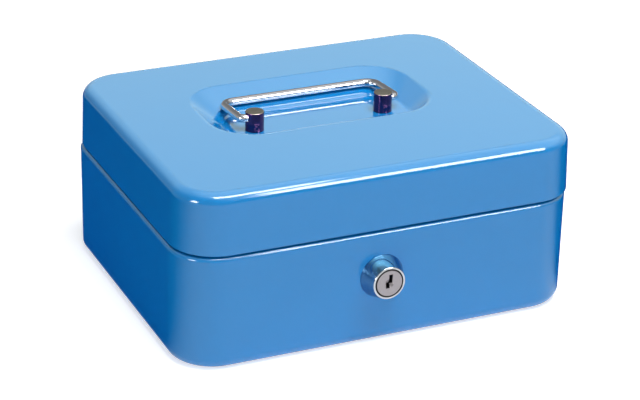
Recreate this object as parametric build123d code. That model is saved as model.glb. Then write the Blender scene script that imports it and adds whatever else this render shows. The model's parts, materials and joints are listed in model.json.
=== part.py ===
from build123d import *
import math
import os

# A portable steel strongbox, in millimetres: X to the right, -Y to the front, Z up.
# The origin is the centre of the base's underside. The lid is shut and unlocked.

# Case
case_length = 200.0
case_depth = 160.0
plan_radius = 22.0
base_height = 56.0
lid_height = 29.0
seam_gap = 1.0
sheet = 1.0
bottom_radius = 5.5
shoulder_radius = 2.2
lid_top_radius = 5.5
lid_draft = 1.8
lid_aside = 0.8

# Neck, the upstand inside the lid that keeps dust and fingers out
neck_inset = 3.4
neck_height = 6.0

# Handle recess, pressed into the lid
recess_length = 114.0
recess_front = 20.0
recess_rear = 42.0
recess_depth = 7.0
recess_side_run = 11.0
recess_front_run = 6.0
recess_rear_run = 23.0
recess_radius = 22.0
recess_floor_radius = 12.0
recess_lip_fillet = 5.0
recess_floor_fillet = 6.0

# Handle posts and their screws
post_diameter = 9.0
post_height = 9.6
post_y = 0.3
post_edge = 0.5
pivot_below_top = 3.1
post_screw_diameter = 3.0
post_screw_head_diameter = 6.0
post_screw_head_height = 2.0
post_screw_head_round = 0.7
post_washer_diameter = 10.0
post_washer_thickness = 0.8
hole_clearance = 0.2
bore_floor = 0.6

# Handle, a bail of bent round wire
wire_diameter = 4.0
handle_width = 81.0
handle_arm_gap = 2.5
handle_reach = 25.8
handle_corner = 6.0
handle_elbow = 2.4
stub_depth = 5.5
stub_end_gap = 0.5
pivot_clearance = 0.05
handle_rest_gap = 0.3

# Lock, a cam lock in the base's front
lock_x = -3.4
lock_z = 33.6
lock_head_diameter = 21.6
lock_face_diameter = 16.0
lock_protrusion = 8.4
lock_barrel_diameter = 16.0
lock_barrel_length = 18.0
lock_ring_width = 1.0
lock_groove_depth = 0.8
lock_nut_across_flats = 20.0
lock_nut_thickness = 4.0
lock_washer_diameter = 23.0
lock_washer_thickness = 1.0
plug_diameter = 12.6
plug_clearance = 0.05
plug_rear_lip = 4.0
plug_tail_diameter = 9.0
keyway_depth = 18.0
keyway_width = 1.8
keyway_above = 4.3
keyway_below = 2.4
keyway_step = 2.0
keyway_lap = 0.6
dimple_diameter = 4.6
dimple_depth = 0.8

# Wafers and their springs, inside the plug
wafer_count = 5
wafer_thickness = 0.8
wafer_width = 6.4
wafer_pitch = 2.6
wafer_first = 4.0
wafer_top = 5.3
wafer_bottom = 4.3
wafer_frame = 0.8
wafer_clearance = 0.05
spring_diameter = 0.8

# Cam on the plug's tail, and its screw
cam_thickness = 1.6
cam_hub_diameter = 12.0
cam_gap = 0.1
cam_square = 5.0
cam_stem_width = 7.0
cam_beak_reach = 10.0
cam_beak_low = 13.0
cam_beak_high = 18.0
cam_washer_diameter = 7.2
cam_washer_thickness = 0.5
cam_screw_diameter = 2.5
cam_screw_head_diameter = 6.4
cam_screw_head_height = 1.6
cam_screw_length = 6.0
cam_screw_slot = 0.5

# Catch, the plate that hangs from the lid's front and takes the cam's beak
catch_thickness = 1.5
catch_offset = 6.0
catch_width = 14.0
catch_bar = 3.5
catch_foot = 3.0
catch_low_play = 1.1
catch_high_play = 4.4
catch_flange_length = 12.0
catch_weld_low = 7.0
catch_weld_high = 19.0
catch_corner = 2.0

# Hinge along the base's rear
hinge_length = 120.0
hinge_knuckles = 5
hinge_pin_diameter = 2.0
hinge_barrel_diameter = 4.0
hinge_leaf = 1.0
hinge_off_wall = 0.2
hinge_base_drop = 12.0
hinge_lid_rise = 13.0
hinge_gap = 0.3
hinge_bore_clearance = 0.05
lid_open_angle = 110.0
stop_reach = 1.6
stop_width = 6.0
stop_gap = 0.15

# Rivets of the hinge leaves
rivet_count = 4
rivet_pitch = 30.0
rivet_diameter = 2.5
rivet_head_diameter = 4.4
rivet_head_height = 0.9
rivet_head_round = 0.7
rivet_edge = 4.5

# Lift-out tray, a moulded pan with slide-in dividers
tray_clearance = 0.6
tray_depth = 30.0
tray_wall = 1.6
tray_floor = 1.5
tray_flange = 1.2
tray_flange_inset = 0.5
tray_floor_fillet = 3.0
divider_thickness = 1.6
divider_below_rim = 1.0
tray_rear_row = 56.0
tray_front_row = 26.0
tray_cups = 4
notch_half_width = 26.0

# Levels and places that follow from the sizes above
post_spacing = handle_width - 2 * handle_arm_gap - post_diameter
case_half_depth = case_depth / 2
lid_bottom = base_height + seam_gap
lid_top = lid_bottom + lid_height
neck_top = base_height + neck_height
recess_floor = lid_top - recess_depth
recess_floor_rear = recess_rear - recess_rear_run
recess_slope = math.degrees(math.atan2(recess_depth, recess_rear_run))
post_top = recess_floor + post_height
pivot_z = post_top - pivot_below_top
wire_radius = wire_diameter / 2
lid_lean = math.tan(math.radians(lid_draft))
neck_length = case_length - 2 * neck_inset
neck_depth = case_depth - 2 * neck_inset
neck_radius = plan_radius - neck_inset
hinge_y = case_half_depth + hinge_barrel_diameter / 2 + hinge_off_wall
hinge_z = base_height + seam_gap / 2
lock_front = -case_half_depth - lock_protrusion
lock_rear = -case_half_depth + lock_barrel_length
plug_radius = plug_diameter / 2
plug_shoulder = lock_rear - plug_rear_lip
cam_front = lock_rear + cam_gap
cam_rear = cam_front + cam_thickness
catch_x = lock_x + catch_offset
catch_mid_y = cam_front + cam_thickness / 2
catch_front = catch_mid_y - catch_width / 2
catch_rear = catch_mid_y + catch_width / 2
catch_window_low = lock_z + cam_beak_low - catch_low_play
catch_window_high = lock_z + cam_beak_high + catch_high_play
rivet_base_z = hinge_z - hinge_base_drop + rivet_edge
rivet_lid_z = lid_bottom + hinge_lid_rise - rivet_edge


def rest_angle():
    """Angle below level at which the folded handle lies just clear of the recess's slope."""
    slope = math.radians(recess_slope)
    lift = math.sin(slope) * (recess_floor_rear - post_y) + math.cos(slope) * (pivot_z - recess_floor)
    drop = lift - wire_radius - handle_rest_gap
    return math.degrees(math.asin(drop / handle_reach)) - recess_slope


def plate(length, depth, radius, low, high):
    """Upright block with rounded plan corners."""
    return extrude(Pos(0, 0, low) * RectangleRounded(length, depth, radius), high - low)


def rod_y(diameter, front, rear, x, z):
    """Round bar along Y."""
    middle = Pos(x, (front + rear) / 2, z)
    return middle * Rot(90, 0, 0) * Cylinder(diameter / 2, rear - front)


def rod_x(diameter, left, right, y, z):
    """Round bar along X."""
    middle = Pos((left + right) / 2, y, z)
    return middle * Rot(0, 90, 0) * Cylinder(diameter / 2, right - left)


def rod_z(diameter, low, high, x, y):
    """Round bar along Z."""
    return Pos(x, y, (low + high) / 2) * Cylinder(diameter / 2, high - low)


def block(x_span, y_span, z_span):
    """Plain block from its low and high limits along each axis."""
    sizes = [high - low for low, high in (x_span, y_span, z_span)]
    middles = [(low + high) / 2 for low, high in (x_span, y_span, z_span)]
    return Pos(*middles) * Box(*sizes)


def profile_along_x(points, left, right):
    """Bar along X whose end outline is a list of (y, z) points."""
    outline = make_face(Polyline(*[(left, y, z) for y, z in points], close=True))
    return extrude(outline, amount=right - left, dir=(1, 0, 0))


def edges_at(solid, level):
    """Edges that lie flat at one level."""
    return solid.edges().filter_by_position(Axis.Z, level - 0.01, level + 0.01)


# Base

def base_block(inset):
    """The base's outside, or its hollow when inset by the sheet."""
    length = case_length - 2 * inset
    depth = case_depth - 2 * inset
    solid = plate(length, depth, plan_radius - inset, inset, base_height - inset)
    solid = fillet(edges_at(solid, inset), bottom_radius - inset)
    return fillet(edges_at(solid, base_height - inset), shoulder_radius - inset)


def base_shell():
    """Pressed base: floor, walls, rounded shoulder and neck, with the lock's hole."""
    outside = base_block(0.0)
    outside += plate(neck_length, neck_depth, neck_radius, base_height - sheet, neck_top)
    mouth = plate(
        neck_length - 2 * sheet, neck_depth - 2 * sheet, neck_radius - sheet,
        base_height - 2 * sheet, neck_top,
    )
    shell = outside - (base_block(sheet) + mouth)
    hole = lock_barrel_diameter + hole_clearance
    shell -= rod_y(hole, lock_front, -case_half_depth + 2 * sheet, lock_x, lock_z)
    for x in rivet_places():
        shell -= rod_y(rivet_diameter, case_half_depth - 2 * sheet, hinge_y, x, rivet_base_z)
    return shell


# Lid

def lid_block(inset):
    """The lid's outside, or its hollow when inset by the sheet, a little right of the base."""
    length = case_length - 2 * inset
    depth = case_depth - 2 * inset
    plan = Pos(lid_aside, 0, lid_bottom) * RectangleRounded(length, depth, plan_radius - inset)
    solid = extrude(plan, amount=lid_height - inset, taper=lid_draft)
    return fillet(edges_at(solid, lid_top - inset), lid_top_radius - inset)


def recess_block(drop):
    """The recess as a solid, or its underside when dropped by the sheet."""
    def grown(run):
        return drop * math.tan(math.atan2(recess_depth, run) / 2)

    side = grown(recess_side_run)
    front = grown(recess_front_run)
    rear = grown(recess_rear_run)
    half = recess_length / 2 + side
    rim_front = -recess_front - front
    rim_rear = recess_rear + rear
    floor_half = half - recess_side_run
    floor_front = rim_front + recess_front_run
    floor_rear = rim_rear - recess_rear_run
    rim = Pos(0, (rim_front + rim_rear) / 2, lid_top - drop) * RectangleRounded(
        2 * half, rim_rear - rim_front, recess_radius
    )
    floor = Pos(0, (floor_front + floor_rear) / 2, recess_floor - drop) * RectangleRounded(
        2 * floor_half, floor_rear - floor_front, recess_floor_radius
    )
    return loft([floor, rim], ruled=True)


def with_recess(solid, drop):
    """Presses the recess into a lid block and rounds its lip and floor edges."""
    pressed = solid - recess_block(drop)
    pressed = fillet(edges_at(pressed, recess_floor - drop), recess_floor_fillet + drop)
    reach = recess_length / 2 + recess_side_run
    lip = edges_at(pressed, lid_top - drop).filter_by_position(Axis.X, -reach, reach)
    lip = lip.filter_by_position(Axis.Y, -recess_front - sheet, recess_rear + sheet)
    return fillet(lip, recess_lip_fillet - drop)


def lid_shell():
    """Pressed lid with the handle recess, and holes for the post screws and rivets."""
    shell = with_recess(lid_block(0.0), 0.0) - with_recess(lid_block(sheet), sheet)
    for x in (-post_spacing / 2, post_spacing / 2):
        hole = post_screw_diameter + hole_clearance
        shell -= rod_z(hole, recess_floor - 2 * sheet, recess_floor + sheet, x, post_y)
    for place in lid_rivet_places():
        shell -= place * rod_y(rivet_diameter, -2 * sheet, hinge_leaf, 0, 0)
    return shell


# Handle posts and handle

def handle_post(side):
    """Chromed post with the handle's pivot hole in its outer side and a tapped foot."""
    x = side * post_spacing / 2
    post = rod_z(post_diameter, recess_floor, post_top, x, post_y)
    post = chamfer(edges_at(post, post_top), post_edge)
    outer = x + side * post_diameter / 2
    inner = outer - side * (stub_depth + stub_end_gap)
    left, right = sorted((inner, outer + side))
    post -= rod_x(wire_diameter + 2 * pivot_clearance, left, right, post_y, pivot_z)
    post -= rod_z(post_screw_diameter, recess_floor, post_bore_top(), x, post_y)
    return post


def post_bore_top():
    """Top of the tapped hole in a post's foot, under the pivot hole."""
    return pivot_z - wire_radius - pivot_clearance - bore_floor


def post_screws():
    """Two pan-head screws that hold the posts from inside the lid."""
    screws = []
    head_top = recess_floor - sheet - post_washer_thickness
    for x in (-post_spacing / 2, post_spacing / 2):
        head = rod_z(post_screw_head_diameter, head_top - post_screw_head_height, head_top, x, post_y)
        head = fillet(edges_at(head, head_top - post_screw_head_height), post_screw_head_round)
        screws.append(head + rod_z(post_screw_diameter, head_top, post_bore_top(), x, post_y))
    return Compound(screws)


def post_washers():
    """Washers between the screw heads and the underside of the recess."""
    washers = []
    top = recess_floor - sheet
    hole = post_screw_diameter + hole_clearance
    for x in (-post_spacing / 2, post_spacing / 2):
        ring = rod_z(post_washer_diameter, top - post_washer_thickness, top, x, post_y)
        washers.append(ring - rod_z(hole, top - post_washer_thickness, top, x, post_y))
    return Compound(washers)


def handle_bail():
    """Bent wire handle, folded back over the recess's rear slope."""
    drop = math.radians(rest_angle())
    bar_y = post_y + handle_reach * math.cos(drop)
    bar_z = pivot_z - handle_reach * math.sin(drop)
    stub_end = (post_spacing + post_diameter) / 2 - stub_depth
    half = handle_width / 2
    path = FilletPolyline(
        (-stub_end, post_y, pivot_z),
        (-half, post_y, pivot_z),
        (-half, bar_y, bar_z),
        (half, bar_y, bar_z),
        (half, post_y, pivot_z),
        (stub_end, post_y, pivot_z),
        radius=[handle_elbow, handle_corner, handle_corner, handle_elbow],
    )
    section = Plane(origin=path @ 0, z_dir=path % 0) * Circle(wire_radius)
    return sweep(section, path=path)


# Lock

def lock_housing():
    """Turned housing: tapered head, threaded barrel and stepped bore for the plug."""
    head = Pos(lock_x, -case_half_depth - lock_protrusion / 2, lock_z) * Rot(90, 0, 0) * Cone(
        lock_head_diameter / 2, lock_face_diameter / 2, lock_protrusion
    )
    body = head + rod_y(lock_barrel_diameter, -case_half_depth, lock_rear, lock_x, lock_z)
    bore = plug_diameter + 2 * plug_clearance
    body -= rod_y(bore, lock_front, plug_shoulder, lock_x, lock_z)
    groove = lock_face_diameter - 2 * lock_ring_width
    body -= rod_y(groove, lock_front, lock_front + lock_groove_depth, lock_x, lock_z)
    tail = plug_tail_diameter + 2 * plug_clearance
    return body - rod_y(tail, plug_shoulder, lock_rear, lock_x, lock_z)


def lock_washer():
    """Ring between the wall and the nut."""
    front = -case_half_depth + sheet
    rear = front + lock_washer_thickness
    ring = rod_y(lock_washer_diameter, front, rear, lock_x, lock_z)
    return ring - rod_y(lock_barrel_diameter + hole_clearance, front, rear, lock_x, lock_z)


def lock_nut():
    """Hexagon nut that clamps the housing to the wall."""
    front = -case_half_depth + sheet + lock_washer_thickness
    rear = front + lock_nut_thickness
    plane = Plane(origin=(lock_x, front, lock_z), x_dir=(1, 0, 0), z_dir=(0, 1, 0))
    corner_radius = lock_nut_across_flats / math.sqrt(3)
    nut = extrude(plane * RegularPolygon(corner_radius, 6), lock_nut_thickness)
    return nut - rod_y(lock_barrel_diameter, front, rear, lock_x, lock_z)


def wafer_fronts():
    """Front faces of the wafers, counted back from the plug's face."""
    return [lock_front + wafer_first + number * wafer_pitch for number in range(wafer_count)]


def lock_plug():
    """Plug with its keyway, wafer slots, square tail and screw hole."""
    shoulder = plug_shoulder - plug_clearance
    plug = rod_y(plug_diameter, lock_front, shoulder, lock_x, lock_z)
    plug += rod_y(plug_tail_diameter, shoulder, lock_rear, lock_x, lock_z)
    half = cam_square / 2
    tail_end = cam_rear - cam_gap
    plug += block(
        (lock_x - half, lock_x + half), (lock_rear, tail_end), (lock_z - half, lock_z + half)
    )
    keyway_end = lock_front + keyway_depth
    upper_left = lock_x - keyway_lap / 2
    plug -= block(
        (upper_left, upper_left + keyway_width),
        (lock_front, keyway_end),
        (lock_z - keyway_lap / 2, lock_z + keyway_above),
    )
    lower_right = lock_x + keyway_lap / 2
    plug -= block(
        (lower_right - keyway_step, lower_right),
        (lock_front, keyway_end),
        (lock_z - keyway_below, lock_z + keyway_lap / 2),
    )
    dimple = Pos(lock_x, lock_front + dimple_depth / 2, lock_z) * Rot(90, 0, 0) * Cone(
        keyway_width / 2, dimple_diameter / 2, dimple_depth
    )
    plug -= dimple
    slot_half = wafer_width / 2 + wafer_clearance
    for front in wafer_fronts():
        plug -= block(
            (lock_x - slot_half, lock_x + slot_half),
            (front - wafer_clearance, front + wafer_thickness + wafer_clearance),
            (lock_z - plug_radius, lock_z + plug_radius),
        )
    screw_front = tail_end - cam_screw_length
    return plug - rod_y(cam_screw_diameter, screw_front, tail_end, lock_x, lock_z)


def lock_wafers():
    """Flat wafers, drawn level in the plug as the key holds them."""
    wafers = []
    half = wafer_width / 2
    window_half = half - wafer_frame
    for front in wafer_fronts():
        depth = (front, front + wafer_thickness)
        wafer = block(
            (lock_x - half, lock_x + half), depth, (lock_z - wafer_bottom, lock_z + wafer_top)
        )
        window_low = lock_z - keyway_below - wafer_frame / 2
        window_high = lock_z + keyway_above + wafer_frame / 4
        wafers.append(wafer - block((lock_x - window_half, lock_x + window_half), depth,
                                    (window_low, window_high)))
    return Compound(wafers)


def wafer_springs():
    """Small springs under the wafers, as plain rods of the springs' outside size."""
    springs = []
    for front in wafer_fronts():
        middle = front + wafer_thickness / 2
        low = lock_z - plug_radius + wafer_clearance
        springs.append(rod_z(spring_diameter, low, lock_z - wafer_bottom, lock_x, middle))
    return Compound(springs)


def cam_outline():
    """The cam's hub, stem and beak in its own plane, as it points when locked."""
    stem_right = cam_stem_width / 2
    hub = Circle(cam_hub_diameter / 2)
    stem = Pos(0, cam_beak_high / 2) * Rectangle(cam_stem_width, cam_beak_high)
    beak = Pos((cam_beak_reach - stem_right) / 2, (cam_beak_low + cam_beak_high) / 2) * Rectangle(
        cam_beak_reach + stem_right, cam_beak_high - cam_beak_low
    )
    hole = Rectangle(cam_square + 2 * plug_clearance, cam_square + 2 * plug_clearance)
    return hub + stem + beak - hole


def lock_cam():
    """Flat hook on the plug's tail, turned to its unlocked place."""
    unlocked_up = Plane(origin=(lock_x, cam_rear, lock_z), x_dir=(0, 0, 1), z_dir=(0, -1, 0))
    return extrude(unlocked_up * cam_outline(), cam_thickness)


def cam_washer():
    """Washer between the cam and its screw."""
    rear = cam_rear + cam_washer_thickness
    ring = rod_y(cam_washer_diameter, cam_rear, rear, lock_x, lock_z)
    return ring - rod_y(cam_screw_diameter, cam_rear, rear, lock_x, lock_z)


def cam_screw():
    """Screw that holds the cam on the plug's tail."""
    seat = cam_rear + cam_washer_thickness
    head_end = seat + cam_screw_head_height
    head = rod_y(cam_screw_head_diameter, seat, head_end, lock_x, lock_z)
    front = cam_rear - cam_gap - cam_screw_length
    screw = head + rod_y(cam_screw_diameter, front, seat, lock_x, lock_z)
    half = cam_screw_head_diameter / 2
    return screw - block(
        (lock_x - half, lock_x + half), (head_end - cam_screw_slot, head_end),
        (lock_z - cam_screw_slot / 2, lock_z + cam_screw_slot / 2),
    )


# Catch

def lid_inner_front(z):
    """Inside face of the lid's front wall at one level."""
    return -case_half_depth + sheet + (z - lid_bottom) * lid_lean


def lid_catch():
    """Plate welded inside the lid's front, with the window that the cam's beak enters."""
    low = lid_bottom + catch_weld_low
    high = lid_bottom + catch_weld_high
    foot = catch_window_low - catch_foot
    left = catch_x - catch_thickness / 2
    right = catch_x + catch_thickness / 2
    outline = [
        (lid_inner_front(low), low), (lid_inner_front(high), high),
        (catch_rear - catch_corner, high), (catch_rear, high - catch_corner),
        (catch_rear, foot + catch_corner), (catch_rear - catch_corner, foot),
        (catch_front + catch_corner, foot), (catch_front, foot + catch_corner),
        (catch_front, low),
    ]
    hanger = profile_along_x(outline, left, right)
    hanger -= block(
        (left, right), (catch_front + catch_bar, catch_rear - catch_bar),
        (catch_window_low, catch_window_high),
    )
    flange = [
        (lid_inner_front(low), low), (lid_inner_front(high), high),
        (lid_inner_front(high) + catch_thickness, high),
        (lid_inner_front(low) + catch_thickness, low),
    ]
    return hanger + profile_along_x(flange, left, left + catch_flange_length)


# Hinge

def knuckle_spans(first):
    """X spans of every second knuckle along the hinge, from the first given."""
    pitch = hinge_length / hinge_knuckles
    spans = []
    for number in range(first, hinge_knuckles, 2):
        left = -hinge_length / 2 + number * pitch
        spans.append((left + hinge_gap / 2, left + pitch - hinge_gap / 2))
    return spans


def hinge_leaf_with(outline, own, other, bore):
    """Leaf with its own knuckles rolled on, cleared round the other leaf's knuckles."""
    leaf = profile_along_x(outline, own_left(), -own_left())
    for left, right in other:
        around = hinge_barrel_diameter + 2 * hinge_gap
        leaf -= rod_x(around, left - hinge_gap, right + hinge_gap, hinge_y, hinge_z)
    for left, right in own:
        leaf += rod_x(hinge_barrel_diameter, left, right, hinge_y, hinge_z)
    return leaf - rod_x(bore, -hinge_length, hinge_length, hinge_y, hinge_z)


def own_left():
    """Left end of both hinge leaves."""
    return -hinge_length / 2 + hinge_gap / 2


def hinge_base_leaf():
    """Leaf on the outside of the base's rear wall."""
    wall = case_half_depth
    low = hinge_z - hinge_base_drop
    outline = [(wall, low), (wall + hinge_leaf, low), (wall + hinge_leaf, hinge_z), (wall, hinge_z)]
    leaf = hinge_leaf_with(outline, knuckle_spans(0), knuckle_spans(1), hinge_pin_diameter)
    for x in rivet_places():
        leaf -= rod_y(rivet_diameter, wall, wall + hinge_leaf, x, rivet_base_z)
    return leaf


def lid_outer_rear(z):
    """Outside face of the lid's rear wall at one level."""
    return case_half_depth - (z - lid_bottom) * lid_lean


def stop_angle():
    """Angle of a stop tab above the +Y direction, so that it meets the base leaf when open."""
    tip = hinge_barrel_diameter / 2 + stop_reach
    corner = math.hypot(tip, hinge_leaf / 2)
    lead = math.degrees(math.atan2(hinge_leaf / 2, tip))
    leaf_face = hinge_y - case_half_depth - hinge_leaf - stop_gap
    meets = 90 + math.degrees(math.asin(leaf_face / corner))
    return lid_open_angle + lead - meets


def hinge_lid_leaf():
    """Leaf on the lid's rear wall, cranked out to the pin, with its two stop tabs."""
    high = lid_bottom + hinge_lid_rise
    web = lid_bottom + hinge_leaf
    outline = [
        (lid_outer_rear(lid_bottom), lid_bottom), (hinge_y, lid_bottom), (hinge_y, web),
        (lid_outer_rear(web) + hinge_leaf, web), (lid_outer_rear(high) + hinge_leaf, high),
        (lid_outer_rear(high), high),
    ]
    bore = hinge_pin_diameter + 2 * hinge_bore_clearance
    leaf = hinge_leaf_with(outline, knuckle_spans(1), knuckle_spans(0), bore)
    root = hinge_pin_diameter
    tip = hinge_barrel_diameter / 2 + stop_reach
    for left, right in knuckle_spans(1):
        middle = (left + right) / 2
        turn = Pos(middle, hinge_y, hinge_z) * Rot(stop_angle(), 0, 0)
        leaf += turn * Pos(0, (root + tip) / 2 - hinge_leaf / 2, 0) * Box(
            stop_width, tip - root + hinge_leaf, hinge_leaf
        )
    for place in lid_rivet_places():
        leaf -= place * rod_y(rivet_diameter, -sheet, 2 * hinge_leaf, 0, 0)
    return leaf


def hinge_pin():
    """Pin through all knuckles, pressed into the base's."""
    half = -own_left()
    return rod_x(hinge_pin_diameter, -half, half, hinge_y, hinge_z)


def rivet_places():
    """X places of the rivets in a leaf."""
    middle = (rivet_count - 1) / 2
    return [(number - middle) * rivet_pitch for number in range(rivet_count)]


def lid_rivet_places():
    """Places on the lid's leaning rear wall, each with Y square to the wall."""
    y = lid_outer_rear(rivet_lid_z)
    return [Pos(x, y, rivet_lid_z) * Rot(lid_draft, 0, 0) for x in rivet_places()]


def rivet():
    """One rivet through a wall and a leaf, with the wall's outside at Y = 0."""
    shank = rod_y(rivet_diameter, -sheet, hinge_leaf, 0, 0)
    outer = rod_y(rivet_head_diameter, hinge_leaf, hinge_leaf + rivet_head_height, 0, 0)
    inner = rod_y(rivet_head_diameter, -sheet - rivet_head_height, -sheet, 0, 0)
    crown = outer.edges().sort_by(Axis.Y)[-1:] + inner.edges().sort_by(Axis.Y)[:1]
    outer = fillet(crown[:1], rivet_head_round)
    inner = fillet(crown[1:], rivet_head_round)
    return shank + outer + inner


def hinge_base_rivets():
    """Rivets of the base's leaf."""
    return Compound([Pos(x, case_half_depth, rivet_base_z) * rivet() for x in rivet_places()])


def hinge_lid_rivets():
    """Rivets of the lid's leaf."""
    return Compound([place * rivet() for place in lid_rivet_places()])


# Tray

def tray_inner_half(length, wall):
    """Half of a length of the tray's inside, from the neck's outside."""
    return length / 2 - sheet - tray_clearance - wall


def notch_block(wall):
    """Space at the tray's front middle for the lock and catch, with or without its own wall."""
    half = notch_half_width + wall
    rear = -tray_inner_half(neck_depth, tray_wall) + tray_front_row
    return block(
        (lock_x - half, lock_x + half), (-case_depth, rear - tray_wall + wall), (0, case_depth)
    )


def tray_hollow():
    """The pan's inside, which goes round the notch."""
    hollow = plate(
        2 * tray_inner_half(neck_length, tray_wall), 2 * tray_inner_half(neck_depth, tray_wall),
        neck_radius - sheet - tray_clearance - tray_wall,
        neck_top - tray_depth + tray_floor, neck_top + tray_flange,
    )
    hollow -= notch_block(tray_wall)
    return fillet(edges_at(hollow, neck_top - tray_depth + tray_floor), tray_floor_fillet)


def coin_tray():
    """Moulded pan that hangs by its flange on the neck and lifts straight out."""
    pan = plate(
        2 * tray_inner_half(neck_length, 0.0), 2 * tray_inner_half(neck_depth, 0.0),
        neck_radius - sheet - tray_clearance, neck_top - tray_depth, neck_top,
    )
    pan += plate(
        neck_length - 2 * tray_flange_inset, neck_depth - 2 * tray_flange_inset,
        neck_radius - tray_flange_inset, neck_top, neck_top + tray_flange,
    )
    return pan - notch_block(0.0) - tray_hollow()


def divider(x_span, y_span):
    """Upright plate between limits in plan, trimmed to the pan's inside."""
    return block(x_span, y_span, (0, neck_top - divider_below_rim)) & tray_hollow()


def row_splits():
    """Y of the middle of the rear row's divider, and of the front row's rear side."""
    half = tray_inner_half(neck_depth, tray_wall)
    return half - tray_rear_row, -half + tray_front_row


def row_dividers():
    """Full-width divider before the cups, and the short ones beside the notch."""
    rear, front = row_splits()
    half = divider_thickness / 2
    long_one = divider((-case_length, case_length), (rear - half, rear + half))
    short_ones = divider((-case_length, case_length), (front - divider_thickness, front))
    return Compound(long_one.solids() + short_ones.solids())


def note_divider():
    """Divider between the two long pockets in the middle."""
    rear, front = row_splits()
    half = divider_thickness / 2
    return divider((-half, half), (front, rear - half))


def cup_dividers():
    """Dividers between the cups of the rear row."""
    rear = row_splits()[0]
    half = divider_thickness / 2
    inner = tray_inner_half(neck_length, tray_wall)
    cups = []
    for number in range(1, tray_cups):
        x = -inner + number * 2 * inner / tray_cups
        cups += divider((x - half, x + half), (rear + half, case_depth)).solids()
    return Compound(cups)


pieces = {
    "base_shell": base_shell,
    "lock_housing": lock_housing,
    "lock_washer": lock_washer,
    "lock_nut": lock_nut,
    "hinge_base_leaf": hinge_base_leaf,
    "hinge_base_rivets": hinge_base_rivets,
    "hinge_pin": hinge_pin,
    "lid_shell": lid_shell,
    "handle_post_left": lambda: handle_post(-1),
    "handle_post_right": lambda: handle_post(1),
    "post_screws": post_screws,
    "post_washers": post_washers,
    "lid_catch": lid_catch,
    "hinge_lid_leaf": hinge_lid_leaf,
    "hinge_lid_rivets": hinge_lid_rivets,
    "handle_bail": handle_bail,
    "lock_plug": lock_plug,
    "lock_wafers": lock_wafers,
    "wafer_springs": wafer_springs,
    "lock_cam": lock_cam,
    "cam_washer": cam_washer,
    "cam_screw": cam_screw,
    "coin_tray": coin_tray,
    "row_dividers": row_dividers,
    "note_divider": note_divider,
    "cup_dividers": cup_dividers,
}

os.makedirs("parts", exist_ok=True)
for name, make in pieces.items():
    solid = make()
    solid.label = name
    export_step(solid, f"parts/{name}.step")
print("handle lies", round(rest_angle(), 2), "degrees below level")
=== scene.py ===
"""Visual model of a portable steel strongbox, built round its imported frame.

Everything is in metres, in the frame's own axes: X to the right, -Y to the front, Z up.
"""

import json
import logging
import math
from dataclasses import dataclass
from enum import Enum
from typing import Callable, Iterable, Sequence

import bmesh
import bpy
from mathutils import Matrix, Vector

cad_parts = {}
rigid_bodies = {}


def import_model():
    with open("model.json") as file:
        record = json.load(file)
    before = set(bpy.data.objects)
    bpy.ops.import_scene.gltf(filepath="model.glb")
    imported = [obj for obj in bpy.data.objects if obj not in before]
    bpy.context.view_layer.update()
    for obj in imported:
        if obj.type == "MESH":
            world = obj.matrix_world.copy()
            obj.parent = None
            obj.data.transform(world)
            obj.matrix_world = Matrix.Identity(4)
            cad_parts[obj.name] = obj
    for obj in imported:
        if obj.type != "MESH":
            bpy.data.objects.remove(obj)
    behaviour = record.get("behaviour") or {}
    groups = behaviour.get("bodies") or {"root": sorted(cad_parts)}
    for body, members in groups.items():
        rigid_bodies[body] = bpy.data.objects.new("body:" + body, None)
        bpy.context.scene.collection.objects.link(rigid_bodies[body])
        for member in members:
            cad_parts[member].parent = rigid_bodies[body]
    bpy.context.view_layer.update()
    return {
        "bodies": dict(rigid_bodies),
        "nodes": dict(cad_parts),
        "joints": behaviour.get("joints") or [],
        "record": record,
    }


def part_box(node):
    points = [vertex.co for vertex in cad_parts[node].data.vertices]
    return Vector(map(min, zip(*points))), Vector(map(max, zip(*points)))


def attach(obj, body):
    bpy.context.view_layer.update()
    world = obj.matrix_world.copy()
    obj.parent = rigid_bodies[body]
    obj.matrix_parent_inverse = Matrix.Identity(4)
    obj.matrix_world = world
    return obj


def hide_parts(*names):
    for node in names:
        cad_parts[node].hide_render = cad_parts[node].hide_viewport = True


LOG = logging.getLogger("strongbox")
MM = 0.001

SHARP_ABOVE = 32.0  # degrees between two faces whose edge stays sharp
ON_AXIS = 1e-7  # a turned profile's radius below this is a point on the axis
LEAST_CORNER = 0.3 * MM  # radius that an outline's corners keep when it is inset
WIRE_END_SHARE = 0.82  # radius of a rounded wire's end ring, by the wire's own

Ring = list[Vector]
Profile = list[tuple[float, float]]
Colour = tuple[float, float, float]
Point = tuple[float, float, float]
Inputs = dict[str | int, object]

WHITE: Colour = (1.0, 1.0, 1.0)
BLACK: Colour = (0.0, 0.0, 0.0)


class Body(Enum):
    """The frame's bodies that the scene's own pieces ride on."""

    BASE = "base"
    LID = "lid"
    HANDLE = "handle"


# Meshes


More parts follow.
